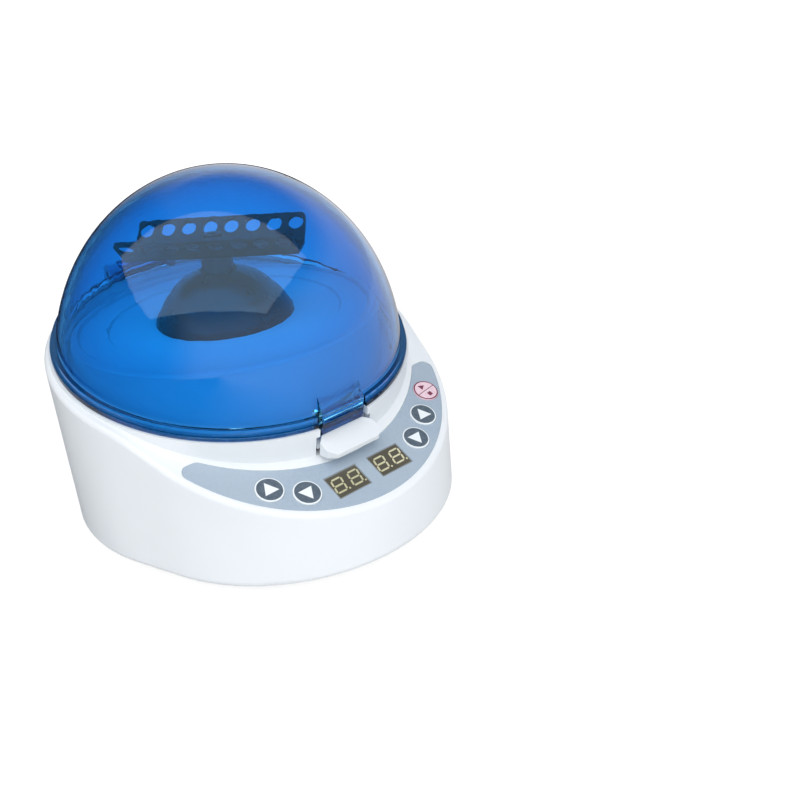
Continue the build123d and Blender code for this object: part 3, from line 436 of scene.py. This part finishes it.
def startKey(name, centre):
    # Pink disc with a dark red ring, a bar across it, and a start sign above and a stop sign below the bar
    style = startStyle
    paint = Paint(name, Specular_IOR_Level=0.45)
    u, v, w = paint.local((*centre, 0.0), panelFrame)
    soft = style["edge"]
    inner, outer = style["ring"]
    reach = (u * u + v * v) ** 0.5
    ring = reach.step(inner - soft, inner + soft) * reach.step(outer + soft, outer - soft)
    angle = style["barAngle"]
    along = u * math.cos(angle) + v * math.sin(angle)
    aside = v * math.cos(angle) - u * math.sin(angle)
    inside = reach.step(style["barReach"] + soft, style["barReach"] - soft)
    bar = aside.calc("ABSOLUTE").step(style["barHalf"] + soft, style["barHalf"] - soft) * inside
    speckle = paint.noise(900.0, 2.0).step(0.35, 0.65)
    pink = paint.mix(speckle, (0.80, 0.58, 0.66), (0.86, 0.66, 0.73))
    above = (aside - style["signGap"]).calc("ABSOLUTE")
    taper = (style["playTip"] - along * style["playTaper"] - above).step(-soft, soft)
    play = taper * along.step(-style["playBase"] - soft, -style["playBase"] + soft)
    below = (aside + style["signGap"]).calc("ABSOLUTE")
    square = along.calc("ABSOLUTE").calc("MAXIMUM", below)
    stop = square.step(style["stopHalf"] + soft, style["stopHalf"] - soft)
    ink = (ring + bar + play + stop).calc("MINIMUM", 1.0)
    shown = paint.mix(ink, pink, style["ink"])
    paint.set(Base_Color=shown, Roughness=speckle * 0.05 + 0.34)
    paint.bump(speckle, 0.06, 0.00003)
    return paint.material


windowStyle = {
    "across": 10.4,
    "down": 2.3,
    "halfWidth": 7.5,
    "halfHeight": 5.2,
    "line": (0.34, 0.26),
}


def windowPrint(name, x):
    # Dark display window with a thin pale line near its edge
    style = windowStyle
    paint = Paint(name, Specular_IOR_Level=0.5, Coat_Weight=0.6, Coat_Roughness=0.12, Roughness=0.16)
    u, v, w = paint.local((x, -style["down"], 0.0), panelFrame)
    sideGap = style["halfWidth"] - u.calc("ABSOLUTE")
    endGap = style["halfHeight"] - v.calc("ABSOLUTE")
    line = sideGap.calc("MINIMUM", endGap).step(*style["line"])
    cloud = paint.noise(25.0).step(0.3, 0.7)
    dark = paint.mix(cloud, (0.085, 0.080, 0.060), (0.115, 0.105, 0.080))
    paint.set(Base_Color=paint.mix(line * 0.6, dark, (0.42, 0.45, 0.47)))
    return paint.material


rockerStyle = {
    "centre": (-20.0, 0.0, 29.0),
    "markAcross": 4.0,
    "barHalfWidth": (0.36, 0.28),
    "barHalfHeight": (1.64, 1.56),
    "ringRadius": 1.35,
    "ringHalfWidth": (0.32, 0.24),
}


def rockerPrint():
    # Glossy black paddle with the generic marks for on and off in white
    style = rockerStyle
    paint = Paint("rockerPrint", Specular_IOR_Level=0.6, Roughness=0.22)
    u, v, w = paint.local(style["centre"], levelFrame)
    bar = u + style["markAcross"]
    on = bar.calc("ABSOLUTE").step(*style["barHalfWidth"]) * w.calc("ABSOLUTE").step(*style["barHalfHeight"])
    across = u - style["markAcross"]
    reach = (across * across + w * w) ** 0.5
    off = (reach - style["ringRadius"]).calc("ABSOLUTE").step(*style["ringHalfWidth"])
    paint.set(Base_Color=paint.mix((on + off).calc("MINIMUM", 1.0), (0.012, 0.012, 0.014), (0.8, 0.8, 0.8)))
    paint.bump(paint.noise(900.0, 2.0), 0.1, 0.00003)
    return paint.material


domeBlue = tintedDome()
filmGrey = overlayFilm()
bell = bellBlack()
rubber = rubberBlack()
board = boardGreen()
segmentCream = moulded("segmentCream", (0.50, 0.48, 0.30), (0.66, 0.63, 0.42), 0.4, 0.1)
sleeveBlue = moulded("sleeveBlue", (0.012, 0.020, 0.075), (0.02, 0.03, 0.10), 0.3, 0.1)
coreVarnish = moulded("coreVarnish", (0.06, 0.055, 0.05), (0.10, 0.09, 0.08), 0.4, 0.5)
fuseGlass = Paint("fuseGlass", Base_Color=(0.9, 0.93, 0.93), Roughness=0.05, IOR=1.45)
fuseGlass.set(Transmission_Weight=0.8)
windowX = windowStyle["across"]

nodeFinish = {
    "upper_housing": shellWhite,
    "base_plate": shellWhite,
    "latch_button": shellWhite,
    "chamber_bowl": bowlWhite,
    "rubber_feet": rubber,
    "motor_isolators": rubber,
    "base_screws": screwSteel,
    "chamber_screws": screwSteel,
    "motor_screws": screwSteel,
    "board_screws": screwSteel,
    "circuit_screws": screwSteel,
    "motor": screwSteel,
    "motor_plate": sinkMetal,
    "heat_sink": sinkMetal,
    "motor_shaft": shaftSteel,
    "hinge_pin": shaftSteel,
    "latch_spring": shaftSteel,
    "strip_rotor": rotorBlack,
    "rotor_screw": rotorBlack,
    "motor_cover": bell,
    "lid_dome": domeBlue,
    "panel_overlay": filmGrey,
    "display_board": board,
    "control_board": board,
    "power_board": board,
    "tact_switches": partBlack,
    "lid_switch": partBlack,
    "power_transistors": partBlack,
    "power_inlet": partBlack,
    "fuse_drawer": partBlack,
    "rocker_bezel": partBlack,
    "lid_switch_plunger": headerCream,
    "connector_headers": headerCream,
    "transformer": coreVarnish,
    "capacitors": sleeveBlue,
    "inlet_blades": pinBrass,
    "fuse": fuseGlass.material,
    "rocker_paddle": rockerPrint(),
    "speed_window": windowPrint("speedWindow", -windowX),
    "time_window": windowPrint("timeWindow", windowX),
    "speed_digits": segmentCream,
    "time_digits": segmentCream,
}

keyRow = {
    "circle": 59.8,
    "startCircle": 61.1,
    "circleY": -28.9,
    "down": 26.8,
    "up": 39.5,
    "start": 52.2,
    "arrowTurn": -28.5,
}


def keyCentre(angle, circle=keyRow["circle"]):
    # A key's place on the panel, from its angle on the circle that the row of keys follows
    x = circle * math.sin(math.radians(angle))
    y = keyRow["circleY"] - circle * math.cos(math.radians(angle))
    return x, (y - panelY) / math.cos(panelTilt)


arrowRight = math.radians(keyRow["arrowTurn"])
arrowLeft = math.radians(keyRow["arrowTurn"] + 180.0)
nodeFinish["speed_up_button"] = arrowKey("speedUpPrint", keyCentre(-keyRow["up"]), arrowRight)
nodeFinish["speed_down_button"] = arrowKey("speedDownPrint", keyCentre(-keyRow["down"]), arrowLeft)
nodeFinish["time_down_button"] = arrowKey("timeDownPrint", keyCentre(keyRow["down"]), arrowLeft)
nodeFinish["time_up_button"] = arrowKey("timeUpPrint", keyCentre(keyRow["up"]), arrowRight)
nodeFinish["start_stop_button"] = startKey("startPrint", keyCentre(keyRow["start"], keyRow["startCircle"]))

for name, finish in nodeFinish.items():
    nodes[name].data.materials.clear()
    nodes[name].data.materials.append(finish)
print("nodes without a finish:", sorted(set(nodes) - set(nodeFinish)))


# Seven-segment digits on the windows

digitStyle = {
    "centres": (-3.97, 3.75),
    "height": 6.7,
    "width": 4.7,
    "stroke": 0.74,
    "gap": 0.17,
    "slant": math.radians(10.5),
    "face": -0.2,
    "lift": 0.05,
    "rise": 0.16,
    "dotRadius": 0.42,
    "dotGap": 0.55,
    "dotRise": 0.1,
}


def segmentPlan(start, end, stroke):
    # A bar with pointed ends: six corners around the line from start to end
    start, end = np.array(start, float), np.array(end, float)
    way = (end - start) / np.linalg.norm(end - start)
    aside = np.array([-way[1], way[0]]) * stroke / 2
    tip = way * stroke / 2
    near, far = start + tip, end - tip
    return np.stack([start, near + aside, far + aside, end, far - aside, near - aside])


def segmentDigits(name, middleX):
    # Two digits with every segment shown and a dot after each, standing a little out of the window's face
    style = digitStyle
    half, side = style["height"] / 2 - style["stroke"] / 2, style["width"] / 2 - 0.1
    gap = style["gap"]
    lines = [((-side + gap, rise), (side - gap, rise)) for rise in (-half, 0.0, half)]
    for x in (-side, side):
        lines += [((x, -half + gap), (x, -gap)), ((x, gap), (x, half - gap))]
    parts = []
    low, high = style["face"] - style["lift"], style["face"] + style["lift"]
    down = windowStyle["down"]
    for centre in style["centres"]:
        for start, end in lines:
            plan = segmentPlan(start, end, style["stroke"])
            plan[:, 0] += plan[:, 1] * math.tan(style["slant"])
            plan += (middleX + centre, style["rise"] - down)
            parts.append(slab(name, plan, low, high, panelFrame))
        turn = np.linspace(0, 2 * np.pi, 20, endpoint=False)
        dot = np.column_stack([np.cos(turn), np.sin(turn)]) * style["dotRadius"]
        dot += (middleX + centre + side + style["dotGap"], style["dotRise"] - down - half)
        parts.append(slab(name, dot, low, high, panelFrame))
    dress(joined(name, parts), segmentCream, "housing")


segmentDigits("speedSegments", -windowX)
segmentDigits("timeSegments", windowX)
print("digits")


# The latch spring, made as one fixed mesh; the real spring shortens as the latch goes in

springStyle = {
    "turns": 6,
    "steps": 32,
    "sides": 12,
    "coil": 2.2,
    "wire": 0.225,
    "ends": (-59.875, -52.025),
    "height": -8.3,
    "fixedEnd": -51.7,
    "latchEnd": -60.1,
}


def latchSpring():
    # A tube along a screw line: x = coil cos t, z = coil sin t and y grows evenly with t. Each ring of the
    # tube is wire (outward cos s + across sin s), where across is square to the line and to outward.
    style = springStyle
    coil, sides, (front, rear) = style["coil"], style["sides"], style["ends"]
    count = style["turns"] * style["steps"] + 1
    t = np.linspace(0, 2 * np.pi * style["turns"], count)
    rise = (rear - front) / t[-1]
    line = np.column_stack([coil * np.cos(t), front + rise * t, coil * np.sin(t)])
    way = np.column_stack([-coil * np.sin(t), np.full(count, rise), coil * np.cos(t)])
    way /= np.linalg.norm(way, axis=1)[:, None]
    outward = np.column_stack([np.cos(t), np.zeros(count), np.sin(t)])
    across = np.cross(way, outward)
    turn = np.linspace(0, 2 * np.pi, sides, endpoint=False)[None, :, None]
    ring = outward[:, None] * np.cos(turn) + across[:, None] * np.sin(turn)
    tube = line[:, None] + style["wire"] * ring
    points = tube.reshape(-1, 3) + (0, 0, style["height"])
    faces = gridFaces(count, sides, wrapColumns=True)
    faces += [list(range(sides))[::-1], list(range(sides * count - sides, sides * count))]
    made = meshObject("latchSpring", placed(points, lidFrame), faces)
    dress(made, shaftSteel, None, ("latch_spring",))
    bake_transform(made)


latchSpring()
print("latch spring")


# The bell over the motor

bellStyle = {
    "outside": [
        (28.6, 76.45), (28.5, 77.1), (27.7, 78.9), (26.3, 81.0), (25.1, 83.0), (24.2, 84.4), (23.6, 85.3),
        (21.9, 87.0), (20.2, 89.0), (18.2, 90.9), (15.6, 93.0), (11.6, 94.9), (8.6, 95.95),
    ],
    "mouth": [(7.9, 96.2), (7.4, 96.1)],
    "inside": [
        (7.4, 94.2), (11.0, 92.6), (14.6, 90.8), (17.2, 88.4), (19.7, 85.6), (22.6, 81.4), (23.4, 78.0),
        (19.0, 78.0), (19.0, 72.4), (20.9, 72.4), (20.9, 76.45),
    ],
}


def bellCover():
    # The bell's profile as (radius, height): a smooth outside, the mouth round the hub and the plain inside
    profile = np.concatenate([smoothCurve(bellStyle["outside"]), bellStyle["mouth"], bellStyle["inside"]])
    made = turnedSurface("bellCover", profile, levelFrame)
    dress(made, bell, "housing", ("motor_cover",))


bellCover()
print("bell")


# Camera, lamps and floor

cameraPlace = {
    "eye": (-0.2012, -0.3334, 0.2192),
    "right": (0.7348, -0.6736, -0.0784),
    "down": (-0.3464, -0.2735, -0.8973),
    "ahead": (0.5831, 0.6866, -0.4344),
    "lens": 45.0,
    "sensor": 36.0,
    "nearest": 0.01,
}


def makeCamera():
    data = bpy.data.cameras.new("camera")
    data.lens = cameraPlace["lens"]
    data.sensor_width = cameraPlace["sensor"]
    data.clip_start = cameraPlace["nearest"]
    made = bpy.data.objects.new("camera", data)
    scene.collection.objects.link(made)
    turn = np.eye(4)
    turn[:3, 0] = cameraPlace["right"]
    turn[:3, 1] = -np.array(cameraPlace["down"])
    turn[:3, 2] = -np.array(cameraPlace["ahead"])
    turn[:3, 3] = cameraPlace["eye"]
    made.matrix_world = Matrix(turn.tolist())
    scene.camera = made


makeCamera()


def areaLamp(name, place, turn, size, power):
    data = bpy.data.lights.new(name, "AREA")
    data.shape = "RECTANGLE"
    data.size, data.size_y = size
    data.energy = power
    made = bpy.data.objects.new(name, data)
    scene.collection.objects.link(made)
    made.location = place
    made.rotation_euler = [math.radians(angle) for angle in turn]
    return made


# The large soft box overhead shows in the dome. The front lamp only lights.
areaLamp("topLamp", (-0.45, -0.35, 1.0), (0, 0, -46.4), (2.44, 1.5), 13.5)
frontLamp = areaLamp("frontLamp", (-0.38, -0.92, 0.55), (60.0, 0, -22.0), (0.6, 0.6), 3.4)
frontLamp.visible_glossy = False
frontLamp.visible_transmission = False


class Sky(Paint):
    # The same calls for the tree of the world
    def __init__(self, name):
        self.world = bpy.data.worlds.new(name)
        self.world.use_nodes = True
        self.tree = self.world.node_tree
        self.tree.nodes.clear()


studioStyle = {
    "leftWay": (-0.73, 0.67, 0.08),
    "leftRise": (0.1, 0.6),
    "ceilingRise": (0.35, 0.65),
    "ceiling": 0.85,
    "card": 0.98,
    "ambient": 0.43,
    "ambientColor": (0.92, 0.96, 1.0),
    "floorSize": 6.0,
    "floorGlow": 1.2,
    "nearGlow": 0.7,
    "glowRise": (0.2, 0.7),
    "floorLeftWay": (-0.73, 0.67, 0.0),
    "floorLeftRise": (-0.25, 0.1),
}


def seenRays(paint):
    # Where the eye sees a thing, straight or through glass or in a gloss, and where a gloss alone sees it
    through, gloss = paint.ray("Is Transmission Ray"), paint.ray("Is Glossy Ray")
    seen = paint.ray("Is Camera Ray").calc("MAXIMUM", through).calc("MAXIMUM", gloss)
    return seen, gloss * (1.0 - through)


def makeWorld():
    # Soft pale light on the object. The backdrop is white to the eye and in clear and glossy pieces, and a
    # gloss also shows a dark card on the left and a dark ceiling round the top lamp.
    style = studioStyle
    sky = Sky("studio")
    seen, glossOnly = seenRays(sky)
    way = sky.node("ShaderNodeTexCoord", output="Generated")
    left = sky.dot(way, style["leftWay"]).step(*style["leftRise"])
    above = sky.dot(way, (0.0, 0.0, 1.0)).step(*style["ceilingRise"])
    card = left.calc("MAXIMUM", above * style["ceiling"]) * glossOnly * style["card"]
    strength = seen * (1.0 - card) + (1.0 - seen) * style["ambient"]
    color = sky.mix(seen, style["ambientColor"], (1.0, 1.0, 1.0))
    light = sky.node("ShaderNodeBackground", None, {"Color": color, "Strength": strength})
    sky.node("ShaderNodeOutputWorld", None, {"Surface": light}, output=None)
    scene.world = sky.world


makeWorld()


def makeFloor():
    # Pale floor that keeps the object's shadow. To the eye it also glows, more so far from the object.
    style = studioStyle
    size = style["floorSize"]
    corners = [(-size, -size, 0), (size, -size, 0), (size, size, 0), (-size, size, 0)]
    made = meshObject("floor", corners, [[0, 1, 2, 3]], smooth=False)
    paint = Paint("floorWhite", Base_Color=(0.9, 0.9, 0.9), Roughness=0.9, Specular_IOR_Level=0.1)
    seen, glossOnly = seenRays(paint)
    away = paint.node("ShaderNodeVectorMath", {"operation": "LENGTH"}, {0: paint.place()}, output="Value")
    near = style["nearGlow"]
    amount = away.step(*style["glowRise"]) * (1.0 - near) + near
    paint.cover(seen * amount, paint.node("ShaderNodeEmission", None, {"Strength": style["floorGlow"]}))
    # The dark card of the left also stands on the floor, for a gloss alone
    card = paint.dot(paint.place(), style["floorLeftWay"]).step(*style["floorLeftRise"])
    paint.cover(card * glossOnly * style["card"], paint.node("ShaderNodeEmission", None, {"Strength": 0.0}))
    made.data.materials.append(paint.material)


makeFloor()
scene.view_settings.view_transform = "Standard"
print("camera, lamps and floor")
